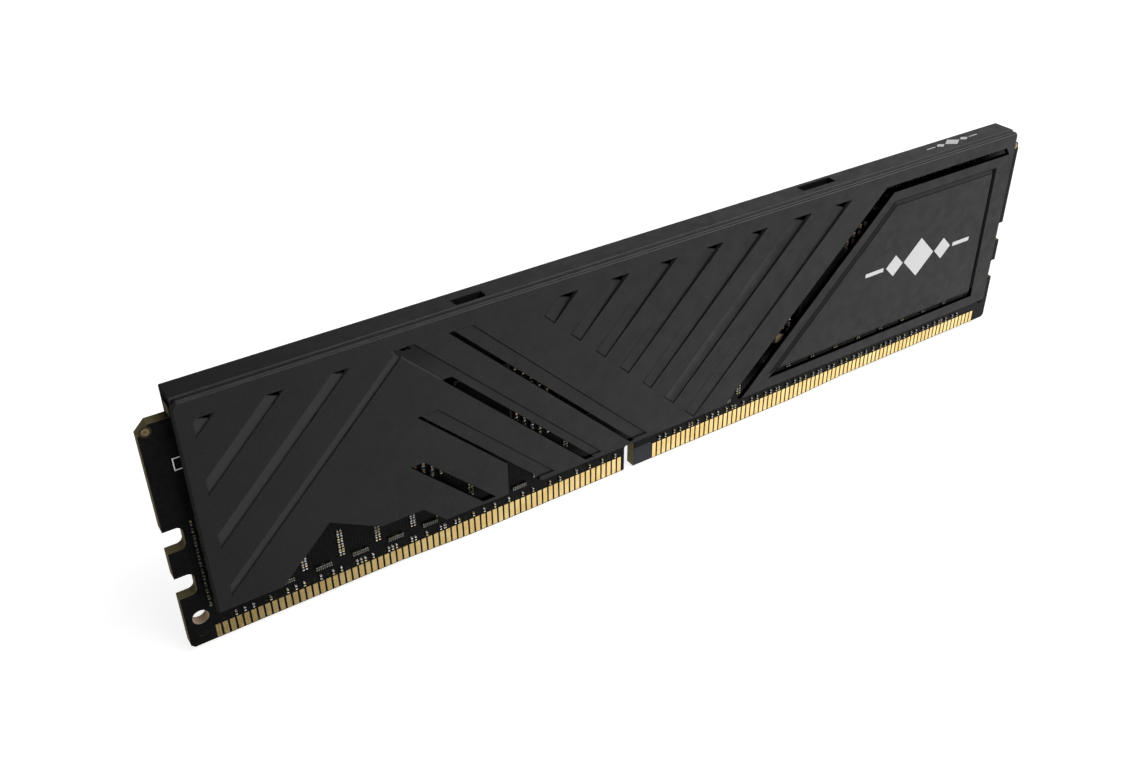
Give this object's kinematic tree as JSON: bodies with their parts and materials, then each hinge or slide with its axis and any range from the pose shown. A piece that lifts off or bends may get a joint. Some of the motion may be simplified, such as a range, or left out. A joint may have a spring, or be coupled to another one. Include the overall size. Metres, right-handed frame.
{
  "type": "memory module",
  "caption": "Desktop computer memory module: a bowed-edge circuit board with gold contacts between two black aluminium heat spreaders with diagonal grooves and vents.",
  "frame": {"origin": "middle of the board's length and thickness, on the lowest line of the contact edge", "axes": "+X along the module, to the right seen from the front spreader; +Y from the front spreader to the rear one; +Z from the contact edge to the top cap"},
  "size_m": [0.1334, 0.0047, 0.034],
  "materials": {
    "solder_mask": "black solder mask over glass-epoxy, satin, with olive glass-epoxy at the cut edges",
    "contact_gold": "thin gold plating, semi-bright",
    "solder": "reflowed tin alloy, satin",
    "terminal_metal": "tinned, bright",
    "chip_mould": "fine matte epoxy moulding",
    "resistor_body": "glazed black ceramic",
    "capacitor_ceramic": "fired ceramic, satin",
    "spreader_front": "black coated aluminium sheet, fine grain, matte",
    "spreader_rear": "black coated aluminium sheet, fine grain, matte",
    "thermal_pad": "soft dark silicone pad, matte",
    "label_film": "blank satin film",
    "white_ink": "flat white print"
  },
  "bodies": {
    "root": {"circuit_board": "solder_mask", "contacts_front": "contact_gold", "contacts_rear": "contact_gold", "chip_solder_balls": "solder", "presence_memory_chip": "chip_mould", "resistor_array_bodies_front": "resistor_body", "resistor_array_leads_front": "terminal_metal", "resistor_array_bodies_rear": "resistor_body", "resistor_array_leads_rear": "terminal_metal", "capacitor_bodies": "capacitor_ceramic", "capacitor_end_caps": "terminal_metal", "resistor_bodies": "resistor_body", "resistor_end_caps": "terminal_metal", "front_heat_spreader": "spreader_front", "rear_heat_spreader": "spreader_rear", "front_thermal_pads": "thermal_pad", "rear_thermal_pad": "thermal_pad", "rear_label": "label_film", "front_emblem": "white_ink", "top_emblem": "white_ink", "alignment_marks": "contact_gold", "board_ink_mark": "white_ink", "memory_chip_1": "chip_mould", "memory_chip_2": "chip_mould", "memory_chip_3": "chip_mould", "memory_chip_4": "chip_mould", "memory_chip_5": "chip_mould", "memory_chip_6": "chip_mould", "memory_chip_7": "chip_mould", "memory_chip_8": "chip_mould"}
  },
  "joints": []
}
